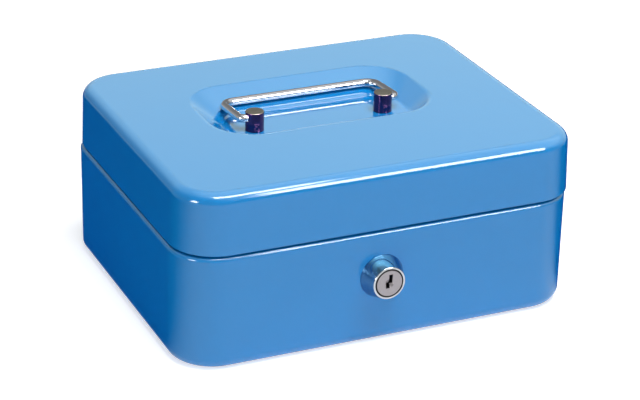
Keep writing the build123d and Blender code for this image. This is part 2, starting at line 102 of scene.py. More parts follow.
@dataclass(frozen=True)
class Outline:
    """A rounded rectangle seen from above."""

    centre_x: float
    centre_y: float
    half_x: float
    half_y: float
    radius: float

    def inset(self, distance: float) -> "Outline":
        """Moves the outline inwards.

        Args:
            distance: How far it moves. A negative distance moves it outwards.

        Returns:
            The new outline.
        """
        return Outline(
            self.centre_x,
            self.centre_y,
            self.half_x - distance,
            self.half_y - distance,
            max(self.radius - distance, LEAST_CORNER),
        )

    def ring(self, height: float, steps: int) -> Ring:
        """Points round the outline at one height.

        Args:
            height: Z of the ring.
            steps: Points that divide each corner.

        Returns:
            The points, counterclockwise, starting at the right side's front.
        """
        points: Ring = []
        for side_x, side_y, start in ((1, -1, -90), (1, 1, 0), (-1, 1, 90), (-1, -1, 180)):
            middle = (
                self.centre_x + side_x * (self.half_x - self.radius),
                self.centre_y + side_y * (self.half_y - self.radius),
            )
            corner = arc(middle, self.radius, start, start + 90, steps)
            points += [Vector((x, y, height)) for x, y in corner]
        return points


def arc(
    centre: tuple[float, float], radius: float, start: float, end: float, steps: int
) -> Profile:
    """Points on an arc in a plane.

    Args:
        centre: Centre of the arc.
        radius: Its radius.
        start: Angle of the first point, in degrees.
        end: Angle of the last point.
        steps: Parts that the arc is divided into.

    Returns:
        The points, with both ends.
    """
    angles = [math.radians(start + (end - start) * step / steps) for step in range(steps + 1)]
    return [
        (centre[0] + radius * math.cos(angle), centre[1] + radius * math.sin(angle))
        for angle in angles
    ]


def inwards(start: float, curve: Profile) -> Profile:
    """A curve with each distance turned into the inset that is left of a start."""
    return [(start - across, height) for across, height in curve]


def circle(centre: Vector, side: Vector, other: Vector, radius: float, steps: int) -> Ring:
    """Points of a circle.

    Args:
        centre: Its centre.
        side: Unit vector towards the first point.
        other: Unit vector square to side, in the circle's plane.
        radius: Its radius.
        steps: Number of points.

    Returns:
        The points.
    """
    angles = [2 * math.pi * step / steps for step in range(steps)]
    return [
        centre + (side * math.cos(angle) + other * math.sin(angle)) * radius for angle in angles
    ]


def linked(name: str, data: bpy.types.ID) -> bpy.types.Object:
    """Makes an object and links it to the scene.

    Args:
        name: Name of the object.
        data: Its mesh, lamp or camera.

    Returns:
        The new object.
    """
    thing = bpy.data.objects.new(name, data)
    bpy.context.scene.collection.objects.link(thing)
    return thing


def stand(thing: bpy.types.Object, axes: Sequence[Vector], position: Vector) -> None:
    """Stands an object somewhere.

    Args:
        thing: The object.
        axes: Unit vectors that its X, Y and Z lie along.
        position: Where its origin is.
    """
    matrix = Matrix(axes).transposed().to_4x4()
    matrix.translation = position
    thing.matrix_world = matrix


def skin(name: str, rings: Sequence[Ring], capped: bool = True) -> bpy.types.Object:
    """Skins rings with faces, shaded smooth except at sharp edges.

    Args:
        name: Name of the new object.
        rings: Rings in order along the surface, of equal length. A ring of one point is a pole.
        capped: Whether the first and last rings are closed with a face.

    Returns:
        The new object, linked to the scene.
    """
    build = bmesh.new()
    rows = [[build.verts.new(point) for point in ring] for ring in rings]
    count = max(len(row) for row in rows)
    for one, two in zip(rows, rows[1:]):
        for here in range(count):
            there = (here + 1) % count
            corners = [one[here % len(one)], one[there % len(one)]]
            corners += [two[there % len(two)], two[here % len(two)]]
            unique = list(dict.fromkeys(corners))
            if len(unique) > 2:
                build.faces.new(unique)
    if capped:
        build.faces.new(rows[0])
        build.faces.new(rows[-1])
    bmesh.ops.recalc_face_normals(build, faces=build.faces)
    mesh = bpy.data.meshes.new(name)
    build.to_mesh(mesh)
    build.free()
    mesh.polygons.foreach_set("use_smooth", [True] * len(mesh.polygons))
    mesh.set_sharp_from_angle(angle=math.radians(SHARP_ABOVE))
    mesh.update()
    return linked(name, mesh)


def lathe(
    name: str, profile: Profile, origin: Vector, axis: Vector, steps: int
) -> bpy.types.Object:
    """Turns a profile about an axis.

    Args:
        name: Name of the new object.
        profile: Points of (radius, distance along the axis). Its ends may lie on the axis.
        origin: Point of the axis where distance is zero.
        axis: Direction of the axis.
        steps: Divisions of the turn.

    Returns:
        The new object, linked to the scene.
    """
    along = axis.normalized()
    side = along.orthogonal().normalized()
    other = along.cross(side)
    rings = []
    for radius, distance in profile:
        middle = origin + along * distance
        on_axis = radius < ON_AXIS
        rings.append([middle] if on_axis else circle(middle, side, other, radius, steps))
    return skin(name, rings, capped=False)


def tube_rings(path: Sequence[Vector], across: Vector, radius: float, steps: int) -> list[Ring]:
    """Rings of a round tube along a path that lies in one plane.

    Args:
        path: Points of the centreline.
        across: Normal of the plane that the path lies in.
        radius: Radius of the tube.
        steps: Points of each ring.

    Returns:
        One ring for each point, and one more at each end, which rounds it.
    """
    rings = []
    last = len(path) - 1
    for number, point in enumerate(path):
        forward = (path[min(number + 1, last)] - path[max(number - 1, 0)]).normalized()
        stations = [(point, radius)]
        if number in (0, last):
            into = (forward if number == 0 else -forward) * radius * (1 - WIRE_END_SHARE)
            stations = [(point, radius * WIRE_END_SHARE), (point + into, radius)]
        if number == last:
            stations.reverse()
        side = forward.cross(across).normalized()
        rings += [circle(centre, side, across, size, steps) for centre, size in stations]
    return rings


# Shader nodes


def feed(tree: bpy.types.NodeTree, node: bpy.types.Node, inputs: Inputs) -> None:
    """Sets or joins a node's inputs.

    Args:
        tree: The node's tree.
        node: The node.
        inputs: A value, or an output to join, for each input by its name or number.
    """
    for label, value in inputs.items():
        if isinstance(value, bpy.types.NodeSocket):
            tree.links.new(value, node.inputs[label])
        else:
            node.inputs[label].default_value = value


def add_node(
    tree: bpy.types.NodeTree, kind: str, inputs: Inputs | None = None, **settings: str
) -> bpy.types.Node:
    """Adds a node to a tree.

    Args:
        tree: The tree.
        kind: Blender's name of the node, without its leading ShaderNode.
        inputs: What its inputs get, as in feed.
        settings: Its properties, such as operation.

    Returns:
        The new node.
    """
    node = tree.nodes.new(f"ShaderNode{kind}")
    for label, value in settings.items():
        setattr(node, label, value)
    feed(tree, node, inputs or {})
    return node


def object_place(tree: bpy.types.NodeTree) -> bpy.types.NodeSocket:
    """The shaded point in the piece's own coordinates."""
    return add_node(tree, "TexCoord").outputs["Object"]


def vector_math(
    tree: bpy.types.NodeTree, operation: str, one: object, two: object = None
) -> bpy.types.Node:
    """A vector operation on one or two inputs, which are outputs to join or values."""
    inputs: Inputs = {0: one} if two is None else {0: one, 1: two}
    return add_node(tree, "VectorMath", inputs, operation=operation)


def plain_math(
    tree: bpy.types.NodeTree, operation: str, one: object, two: object
) -> bpy.types.NodeSocket:
    """The result of an operation on two inputs, which are outputs to join or values."""
    return add_node(tree, "Math", {0: one, 1: two}, operation=operation).outputs["Value"]


def smooth_step(
    tree: bpy.types.NodeTree,
    value: bpy.types.NodeSocket,
    between: tuple[float, float],
    levels: tuple[object, object] = (0.0, 1.0),
) -> bpy.types.NodeSocket:
    """A level that changes smoothly while a value runs between two limits.

    Args:
        tree: The tree.
        value: The value.
        between: The limits.
        levels: The level at each limit.

    Returns:
        The level.
    """
    inputs: Inputs = {"Value": value, "From Min": between[0], "From Max": between[1]}
    inputs |= {"To Min": levels[0], "To Max": levels[1]}
    node = add_node(tree, "MapRange", inputs, interpolation_type="SMOOTHSTEP")
    return node.outputs["Result"]


class Effects:
    """Node groups that several finishes share, each built once."""

    def __init__(self) -> None:
        """Builds the groups."""
        self.surface_wave = self._surface_wave()
        self.handling = self._handling()
        self.turned = self._turned()

    @staticmethod
    def _group(
        name: str, inputs: dict[str, float | Point], outputs: Sequence[str]
    ) -> tuple[bpy.types.NodeTree, bpy.types.Node, bpy.types.Node]:
        """Makes an empty group.

        Args:
            name: Name of the group.
            inputs: The inputs' names and first values, numbers or vectors.
            outputs: The outputs' names, all of them numbers.

        Returns:
            The group's tree, its input node and its output node.
        """
        tree = bpy.data.node_groups.new(name, "ShaderNodeTree")
        for label, value in inputs.items():
            kind = "NodeSocketFloat" if isinstance(value, float) else "NodeSocketVector"
            socket = tree.interface.new_socket(name=label, in_out="INPUT", socket_type=kind)
            socket.default_value = value
        for label in outputs:
            tree.interface.new_socket(name=label, in_out="OUTPUT", socket_type="NodeSocketFloat")
        return tree, tree.nodes.new("NodeGroupInput"), tree.nodes.new("NodeGroupOutput")

    def _surface_wave(self) -> bpy.types.NodeTree:
        """Builds the broad and fine unevenness of a coating.

        Returns:
            The group, which puts out a height and a mask for the colour.
        """
        tree, source, sink = self._group(
            "surface_wave", {"Broad": 60.0, "Fine": 900.0, "Fine Share": 0.35}, ("Height", "Mask")
        )
        place = object_place(tree)
        broad, fine = (
            add_node(
                tree,
                "TexNoise",
                {"Vector": place, "Scale": source.outputs[label], "Detail": detail},
            ).outputs["Fac"]
            for label, detail in (("Broad", 2.0), ("Fine", 1.0))
        )
        shares: Inputs = {"Factor": source.outputs["Fine Share"], 2: broad, 3: fine}
        blend = add_node(tree, "Mix", shares, data_type="FLOAT")
        feed(tree, sink, {"Height": blend.outputs[0], "Mask": broad})
        return tree

    def _handling(self) -> bpy.types.NodeTree:
        """Builds faint wiped marks.

        Returns:
            The group, which puts out a roughness between a clean and a marked one.
        """
        tree, source, sink = self._group(
            "handling_marks", {"Scale": 35.0, "Clean": 0.05, "Marked": 0.15}, ("Roughness",)
        )
        stretch = add_node(
            tree, "Mapping", {"Vector": object_place(tree), "Scale": (1.0, 2.6, 1.7)}
        )
        cloud = add_node(
            tree,
            "TexNoise",
            {
                "Vector": stretch.outputs["Vector"],
                "Scale": source.outputs["Scale"],
                "Detail": 6.0,
                "Roughness": 0.62,
            },
        )
        level = add_node(
            tree,
            "MapRange",
            {
                "Value": cloud.outputs["Fac"],
                "From Min": 0.45,
                "From Max": 0.75,
                "To Min": source.outputs["Clean"],
                "To Max": source.outputs["Marked"],
            },
        )
        feed(tree, sink, {"Roughness": level.outputs["Result"]})
        return tree

    def _turned(self) -> bpy.types.NodeTree:
        """Builds the fine rings that a lathe leaves round an axis along Y.

        Returns:
            The group, which puts out a height.
        """
        tree, source, sink = self._group(
            "turned_rings", {"Centre": (0.0, 0.0, 0.0), "Pitch": 2500.0}, ("Height",)
        )
        offset = vector_math(tree, "SUBTRACT", object_place(tree), source.outputs["Centre"])
        split = add_node(tree, "SeparateXYZ", {"Vector": offset.outputs["Vector"]})
        flat = add_node(tree, "CombineXYZ", {label: split.outputs[label] for label in ("X", "Z")})
        away = vector_math(tree, "LENGTH", flat.outputs["Vector"]).outputs["Value"]
        turns = plain_math(tree, "MULTIPLY", away, source.outputs["Pitch"])
        inputs: Inputs = {"W": turns, "Scale": 1.0, "Detail": 2.0}
        noise = add_node(tree, "TexNoise", inputs, noise_dimensions="1D")
        feed(tree, sink, {"Height": noise.outputs["Fac"]})
        return tree


# Finishes


def new_material(name: str) -> tuple[bpy.types.Material, bpy.types.Node]:
    """Makes a material with node shading.

    Args:
        name: Name of the material.

    Returns:
        The material and its Principled node.
    """
    material = bpy.data.materials.new(name)
    material.use_nodes = True
    return material, material.node_tree.nodes["Principled BSDF"]


def placed_group(
    tree: bpy.types.NodeTree, group: bpy.types.NodeTree, **values: float | Point
) -> bpy.types.Node:
    """Places a node group in a material.

    Args:
        tree: The material's tree.
        group: The group.
        values: This material's own values, with underscores for spaces in the names.

    Returns:
        The group's node.
    """
    node = add_node(tree, "Group")
    node.node_tree = group
    feed(tree, node, {label.replace("_", " "): value for label, value in values.items()})
    return node


def tinted(
    tree: bpy.types.NodeTree, mask: bpy.types.NodeSocket, one: Iterable[float], two: Iterable[float]
) -> bpy.types.NodeSocket:
    """A colour that runs from one to another.

    Args:
        tree: The material's tree.
        mask: Share of the second colour.
        one: The first colour.
        two: The second colour.

    Returns:
        The colour.
    """
    inputs: Inputs = {"Factor": mask, 6: (*one, 1.0), 7: (*two, 1.0)}
    return add_node(tree, "Mix", inputs, data_type="RGBA").outputs[2]


def bumped(
    tree: bpy.types.NodeTree, height: bpy.types.NodeSocket, depth: float
) -> bpy.types.NodeSocket:
    """A normal that a bump turns.

    Args:
        tree: The material's tree.
        height: Height of the surface, in shares of the depth.
        depth: The depth, in metres.

    Returns:
        The normal.
    """
    inputs: Inputs = {"Height": height, "Distance": depth, "Strength": 1.0}
    return add_node(tree, "Bump", inputs).outputs["Normal"]


@dataclass(frozen=True)
class GlossPaint:
    """Smooth stoved enamel on pressed steel."""

    name: str = "blue_enamel"
    colour: Colour = (0.005, 0.236, 0.61)
    deeper: Colour = (0.004, 0.224, 0.59)
    ior: float = 1.5
    clean: float = 0.07
    marked: float = 0.12
    wave_depth: float = 0.010 * MM

    def material(self, effects: Effects) -> bpy.types.Material:
        """Builds the material.

        Args:
            effects: The shared node groups.

        Returns:
            The material.
        """
        material, shader = new_material(self.name)
        tree = material.node_tree
        wave = placed_group(tree, effects.surface_wave, Broad=70.0, Fine=420.0, Fine_Share=0.3)
        marks = placed_group(
            tree, effects.handling, Scale=30.0, Clean=self.clean, Marked=self.marked
        )
        inputs: Inputs = {
            "Base Color": tinted(tree, wave.outputs["Mask"], self.colour, self.deeper),
            "Roughness": marks.outputs["Roughness"],
            "IOR": self.ior,
            "Normal": bumped(tree, wave.outputs["Height"], self.wave_depth),
        }
        feed(tree, shader, inputs)
        return material


@dataclass(frozen=True)
class PlatedMetal:
    """Bright or satin plated metal, with a grain where its depth isn't 0."""

    name: str
    colour: Colour
    clean: float
    marked: float
    grain_depth: float = 0.0
    darker: float = 0.9

    def material(self, effects: Effects) -> bpy.types.Material:
        """Builds the material.

        Args:
            effects: The shared node groups.

        Returns:
            The material.
        """
        material, shader = new_material(self.name)
        tree = material.node_tree
        wave = placed_group(tree, effects.surface_wave, Broad=300.0, Fine=2400.0, Fine_Share=0.6)
        marks = placed_group(
            tree, effects.handling, Scale=120.0, Clean=self.clean, Marked=self.marked
        )
        deeper = [self.darker * part for part in self.colour]
        inputs: Inputs = {
            "Base Color": tinted(tree, wave.outputs["Mask"], self.colour, deeper),
            "Roughness": marks.outputs["Roughness"],
            "Metallic": 1.0,
        }
        if self.grain_depth:
            inputs["Normal"] = bumped(tree, wave.outputs["Height"], self.grain_depth)
        feed(tree, shader, inputs)
        return material


@dataclass(frozen=True)
class TurnedMetal:
    """Metal faced on a lathe, with fine rings round an axis along Y."""

    name: str
    colour: Colour
    centre: Point
    clean: float
    marked: float
    ring_depth: float = 0.004 * MM

    def material(self, effects: Effects) -> bpy.types.Material:
        """Builds the material.

        Args:
            effects: The shared node groups.

        Returns:
            The material.
        """
        material, shader = new_material(self.name)
        tree = material.node_tree
        marks = placed_group(
            tree, effects.handling, Scale=200.0, Clean=self.clean, Marked=self.marked
        )
        rings = placed_group(tree, effects.turned, Centre=self.centre, Pitch=5200.0)
        inputs: Inputs = {
            "Base Color": (*self.colour, 1.0),
            "Metallic": 1.0,
            "Roughness": marks.outputs["Roughness"],
            "Normal": bumped(tree, rings.outputs["Height"], self.ring_depth),
        }
        feed(tree, shader, inputs)
        return material


@dataclass(frozen=True)
class MouldedPlastic:
    """Matt moulded plastic with a fine grain."""

    name: str = "tray_plastic"
    colour: Colour = (0.018, 0.018, 0.020)
    clean: float = 0.42
    marked: float = 0.56
    grain_depth: float = 0.02 * MM

    def material(self, effects: Effects) -> bpy.types.Material:
        """Builds the material.

        Args:
            effects: The shared node groups.

        Returns:
            The material.
        """
        material, shader = new_material(self.name)
        tree = material.node_tree
        grain = placed_group(tree, effects.surface_wave, Broad=1100.0, Fine=3200.0, Fine_Share=0.5)
        marks = placed_group(
            tree, effects.handling, Scale=40.0, Clean=self.clean, Marked=self.marked
        )
        inputs: Inputs = {
            "Base Color": (*self.colour, 1.0),
            "Roughness": marks.outputs["Roughness"],
            "Normal": bumped(tree, grain.outputs["Height"], self.grain_depth),
        }
        feed(tree, shader, inputs)
        return material


class Finishes:
    """All the object's materials, made once."""

    def __init__(self, effects: Effects, lock_centre: Point) -> None:
        """Makes the materials.

        Args:
            effects: The shared node groups.
            lock_centre: A point on the lock's axis.
        """
        grain, fine_rings = 0.006 * MM, 0.001 * MM
        self.paint = GlossPaint().material(effects)
        self.chrome, self.dark_chrome, self.post_top, self.groove, self.zinc, self.brass = (
            PlatedMetal(*values).material(effects)
            for values in (
                ("chrome", (0.72, 0.73, 0.75), 0.03, 0.08),
                # Post sides: a dark violet painted reflection on chrome.
                ("dark_chrome", (0.13, 0.055, 0.14), 0.04, 0.10),
                # Post tops: a lighter brownish grey painted reflection on satin chrome.
                ("post_top", (0.42, 0.40, 0.33), 0.36, 0.46),
                # Groove round the plug: near black, painted shade in the recess.
                ("groove_painted_shade", (0.03, 0.03, 0.03), 0.5, 0.6),
                ("zinc_plate", (0.62, 0.64, 0.68), 0.26, 0.40, grain),
                ("wafer_brass", (0.72, 0.52, 0.22), 0.22, 0.34),
            )
        )
        self.lock_chrome, self.lock_cone, self.lock_face = (
            TurnedMetal(*values).material(effects)
            for values in (
                ("lock_chrome", (0.42, 0.44, 0.46), lock_centre, 0.08, 0.14, fine_rings),
                # The cone is chrome; its blue colour is a painted reflection of the blue front
                # wall.
                ("lock_cone", (0.10, 0.25, 0.42), lock_centre, 0.08, 0.16, fine_rings),
                ("lock_face", (0.27, 0.25, 0.26), lock_centre, 0.28, 0.38),
            )
        )
        self.plastic = MouldedPlastic().material(effects)


def dress(piece: bpy.types.Object, material: bpy.types.Material) -> None:
    """Gives a piece one material in place of all others."""
    piece.data.materials.clear()
    piece.data.materials.append(material)


def dress_nodes(frame: dict, nodes: Iterable[str], material: bpy.types.Material) -> None:
    """Gives one material to CAD nodes, by their names."""
    for node in nodes:
        dress(frame["nodes"][node], material)


def dress_faces(
    piece: bpy.types.Object,
    material: bpy.types.Material,
    wanted: Callable[[bpy.types.MeshPolygon], bool],
) -> None:
    """Adds a material to a piece and gives it to some of its faces.

    Args:
        piece: A piece that has its first material.
        material: The material to add.
        wanted: Tells whether a face gets it.
    """
    piece.data.materials.append(material)
    for face in piece.data.polygons:
        if wanted(face):
            face.material_index = len(piece.data.materials) - 1


# Sub-assemblies


@dataclass
class Pressing:
    """What the lid and the base have alike: a rounded box, open at one side, of thin sheet."""

    centre_x: float = 0.0
    half_x: float = 100.0 * MM
    half_y: float = 80.0 * MM
    radius: float = 22.0 * MM
    sheet: float = 1.0 * MM
    edge_radius: float = 5.5 * MM
    rim_radius: float = 0.3 * MM
    support: float = 0.4 * MM
    corner_steps: int = 28
    arc_steps: int = 12
    rim_steps: int = 4

    def rings(self, profile: Profile) -> list[Ring]:
        """Rings round the pressing.

        Args:
            profile: Points of (inset from the outline, height).

        Returns:
            One ring for each point.
        """
        outline = Outline(self.centre_x, 0.0, self.half_x, self.half_y, self.radius)
        return [outline.inset(inset).ring(z, self.corner_steps) for inset, z in profile]


@dataclass
class Lid(Pressing):
    """Pressed lid with its recess, and what is fixed to it."""

    centre_x: float = 0.8 * MM
    bottom: float = 57.0 * MM
    top: float = 86.0 * MM
    draft: float = 1.8
    wall_start: float = 0.6 * MM
    recess_half_x: float = 57.0 * MM
    recess_front: float = -20.0 * MM
    recess_rear: float = 42.0 * MM
    recess_depth: float = 7.0 * MM
    side_run: float = 11.0 * MM
    front_run: float = 6.0 * MM
    rear_run: float = 23.0 * MM
    recess_radius: float = 22.0 * MM
    floor_radius: float = 12.0 * MM
    lip_fillet: float = 5.0 * MM
    floor_fillet: float = 6.0 * MM

    def wall_profile(self, inner: float) -> Profile:
        """Profile of the wall and its top edge.

        Args:
            inner: 0 for the outside, or the sheet's thickness for the inside.

        Returns:
            Points of (inset from the outline at the lid's bottom, height), from the bottom up.
        """
        draft = math.radians(self.draft)
        lean = math.tan(draft)
        radius = self.edge_radius - inner
        top = self.top - inner
        spring = top - radius
        centre = inner + lean * (spring - self.bottom) + radius / math.cos(draft)
        points = [(inner + lean * self.wall_start, self.bottom + self.wall_start)]
        edge = arc((0.0, spring), radius, self.draft, 90.0, self.arc_steps)
        return points + inwards(centre, edge) + [(centre + self.support, top)]

    def rim_profile(self) -> Profile:
        """Profile round the sheet's cut edge.

        Returns:
            Points of (inset from the outline, height), from the outside to the inside.
        """
        small = self.rim_radius
        height = self.bottom + small
        points = arc((small, height), small, 180.0, 270.0, self.rim_steps)
        return points + arc((self.sheet - small, height), small, 270.0, 360.0, self.rim_steps)

    def recess_rings(self, inner: float) -> list[Ring]:
        """Rings down the recess, from the flat round it to its floor.

        Args:
            inner: 0 for the visible side, or the sheet's thickness for the underside.

        Returns:
            The rings, with each point on the line from the rim's outline to the floor's.
        """
        side, front, rear = (
            inner * math.tan(math.atan2(self.recess_depth, run) / 2)
            for run in (self.side_run, self.front_run, self.rear_run)
        )
        half = self.recess_half_x + side
        edges = (self.recess_front - front, self.recess_rear + rear)
        low_edges = (edges[0] + self.front_run, edges[1] - self.rear_run)
        rim, floor = (
            Outline(0.0, (near + far) / 2, wide, (far - near) / 2, radius).ring(
                0.0, self.corner_steps
            )
            for (near, far), wide, radius in (
                (edges, half, self.recess_radius),
                (low_edges, half - self.side_run, self.floor_radius),
            )
        )
        columns = []
        for outer, low in zip(rim, floor):
            along = (low - outer).normalized()
            profile = self._press_profile((low - outer).length, inner)
            points = [outer + along * across for across, _ in profile]
            heights = [self.top - inner - drop for _, drop in profile]
            columns.append([Vector((p.x, p.y, z)) for p, z in zip(points, heights)])
        return [list(ring) for ring in zip(*columns)]

    def _press_profile(self, run: float, inner: float) -> Profile:
        """Profile across the recess's wall, with both fillets.

        Args:
            run: Distance across the wall, seen from above.
            inner: 0 for the visible side, or the sheet's thickness for the underside.

        Returns:
            Points of (distance from the rim, drop).
        """
        lip = self.lip_fillet - inner
        foot = self.floor_fillet + inner
        slope = math.atan2(self.recess_depth, run)
        degrees = math.degrees(slope)
        lip_start = lip * math.tan(slope / 2)
        foot_end = run + foot * math.tan(slope / 2)
        points = [(-lip_start - self.support, 0.0)]
        points += arc((-lip_start, lip), lip, -90.0, degrees - 90.0, self.arc_steps)
        foot_centre = (foot_end, self.recess_depth - foot)
        points += arc(foot_centre, foot, 90.0 + degrees, 90.0, self.arc_steps)
        return points + [(foot_end + self.support, self.recess_depth)]

    def shell(self) -> bpy.types.Object:
        """Builds the lid as one closed sheet with its rolled rim edge.

        Returns:
            The lid's pressing.
        """
        outside = self.rings(self.wall_profile(0.0))
        inside = self.rings(self.rim_profile() + self.wall_profile(self.sheet))
        rings = self.recess_rings(0.0)[::-1] + outside[::-1] + inside
        return skin("lid_pressing", rings + self.recess_rings(self.sheet))

    def build(self, frame: dict, finishes: Finishes) -> None:
        """Builds and dresses the lid and the nodes that ride with it.

        Args:
            finishes: The materials.
        """
        shell = self.shell()
        dress(shell, finishes.paint)
        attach(shell, Body.LID.value)
        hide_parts("lid_shell")
        dress_nodes(frame, ("hinge_lid_leaf", "hinge_lid_rivets"), finishes.paint)
        dress_nodes(frame, ("post_screws", "post_washers", "lid_catch"), finishes.zinc)
        LOG.info("lid: %s", shell.name)


@dataclass
class Base(Pressing):
    """Pressed base with its shoulder and neck, and what is fixed to it."""

    height: float = 56.0 * MM
    shoulder_radius: float = 2.2 * MM
    neck_inset: float = 3.4 * MM
    neck_height: float = 6.0 * MM
    neck_root: float = 0.4 * MM

    def side_profile(self, inner: float) -> Profile:
        """Profile from the underside's edge up to the shoulder's inner edge.

        Args:
            inner: 0 for the outside, or the sheet's thickness for the inside.

        Returns:
            Points of (inset from the outline, height).
        """
        low = self.edge_radius - inner
        high = self.shoulder_radius - inner
        top = self.height - inner
        points = [(self.edge_radius + self.support, inner)]
        lower = arc((0.0, inner + low), low, 270.0, 360.0, self.arc_steps)
        points += inwards(self.edge_radius, lower)
        points.append((inner, inner + low + self.support))
        points.append((inner, top - high - self.support))
        upper = arc((0.0, top - high), high, 0.0, 90.0, self.arc_steps)
        return points + inwards(self.shoulder_radius, upper)

    def neck_profile(self) -> Profile:
        """Profile up the neck's outside, over its edge and down its inside.

        Returns:
            Points of (inset from the outline, height).
        """
        root, small, steps = self.neck_root, self.rim_radius, self.rim_steps
        out = self.neck_inset
        back = out + self.sheet
        edge = self.height + self.neck_height - small
        points = inwards(out, arc((root, self.height + root), root, 270.0, 180.0, steps))
        points += inwards(out, arc((-small, edge), small, 0.0, 90.0, steps))
        points += inwards(back, arc((small, edge), small, 90.0, 180.0, steps))
        return points + [(back, self.height - self.sheet)]

    def shell(self) -> bpy.types.Object:
        """Builds the base as one closed sheet."""
        profile = self.side_profile(0.0) + self.neck_profile() + self.side_profile(self.sheet)[::-1]
        return skin("base_pressing", self.rings(profile))

    def build(self, frame: dict, finishes: Finishes) -> None:
        """Builds and dresses the base and the nodes fixed to it.

        Args:
            finishes: The materials.
        """
        shell = self.shell()
        dress(shell, finishes.paint)
        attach(shell, Body.BASE.value)
        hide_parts("base_shell")
        dress_nodes(frame, ("hinge_base_leaf", "hinge_base_rivets"), finishes.paint)
        dress_nodes(frame, ("hinge_pin", "lock_washer", "lock_nut"), finishes.zinc)
        LOG.info("base: %s", shell.name)


@dataclass
class Handle:
    """Bent wire handle and its two posts."""

    wire_radius: float = 2.0 * MM
    half_width: float = 40.5 * MM
    reach: float = 25.8 * MM
    corner: float = 6.0 * MM
    elbow: float = 2.4 * MM
    stub_end: float = 32.5 * MM
    pivot_y: float = 0.3 * MM
    pivot_z: float = 85.5 * MM
    drop: float = 4.35
    ring_steps: int = 40
    bend_steps: int = 14
    post_radius: float = 4.5 * MM
    post_edge: float = 0.5 * MM
    post_foot_edge: float = 0.15 * MM
    post_support: float = 0.6 * MM
    post_side_support: float = 0.5 * MM
    post_top_support: float = 0.3 * MM
    post_edge_steps: int = 5
    post_steps: int = 96
    # Faces that point up more than this get the posts' lighter painted reflection.
    top_normal_z: float = 0.5

    def path(self) -> list[Vector]:
        """Centreline of the wire.

        Returns:
            Its points, from the left stub to the right.
        """
        angle = math.radians(self.drop)
        back = Vector((0.0, math.cos(angle), -math.sin(angle)))
        pivot = Vector((0.0, self.pivot_y, self.pivot_z))
        half, reach, steps = self.half_width, self.reach, self.bend_steps
        flat = [(self.stub_end, 0.0)]
        flat += arc((half - self.elbow, self.elbow), self.elbow, 270.0, 360.0, steps)
        flat += arc((half - self.corner, reach - self.corner), self.corner, 0.0, 90.0, steps)
        right = [pivot + Vector((x, 0.0, 0.0)) + back * y for x, y in flat]
        left = [Vector((-point.x, point.y, point.z)) for point in right]
        return left + right[::-1]

    def build(self, frame: dict, finishes: Finishes) -> None:
        """Builds and dresses the handle and its posts.

        Args:
            finishes: The materials.
        """
        angle = math.radians(self.drop)
        across = Vector((0.0, math.sin(angle), math.cos(angle)))
        rings = tube_rings(self.path(), across, self.wire_radius, self.ring_steps)
        bail = skin("wire_handle", rings)
        dress(bail, finishes.chrome)
        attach(bail, Body.HANDLE.value)
        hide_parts("handle_bail")
        for side in ("left", "right"):
            self.post(side, finishes)
        LOG.info("handle: %s", bail.name)

    def post(self, side: str, finishes: Finishes) -> None:
        """Builds and dresses one post, in its node's box.

        Args:
            side: left or right.
            finishes: The materials.
        """
        node = f"handle_post_{side}"
        low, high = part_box(node)
        foot = Vector(((low.x + high.x) / 2, (low.y + high.y) / 2, low.z))
        height = high.z - low.z
        wide, edge, foot_edge = self.post_radius, self.post_edge, self.post_foot_edge
        profile = [(0.0, 0.0), (wide - foot_edge, 0.0), (wide, foot_edge)]
        profile += [(wide, self.post_support), (wide, height - edge - self.post_side_support)]
        profile += arc((wide - edge, height - edge), edge, 0.0, 90.0, self.post_edge_steps)
        profile += [(wide - edge - self.post_top_support, height), (0.0, height)]
        upright = Vector((0.0, 0.0, 1.0))
        post = lathe(f"post_{side}", profile, foot, upright, self.post_steps)
        # The posts are one chrome part: the dark violet of their sides and the lighter brownish
        # grey of their tops, split by face direction, are painted reflections.
        dress(post, finishes.dark_chrome)
        dress_faces(post, finishes.post_top, lambda face: face.normal.z > self.top_normal_z)
        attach(post, Body.LID.value)
        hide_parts(node)


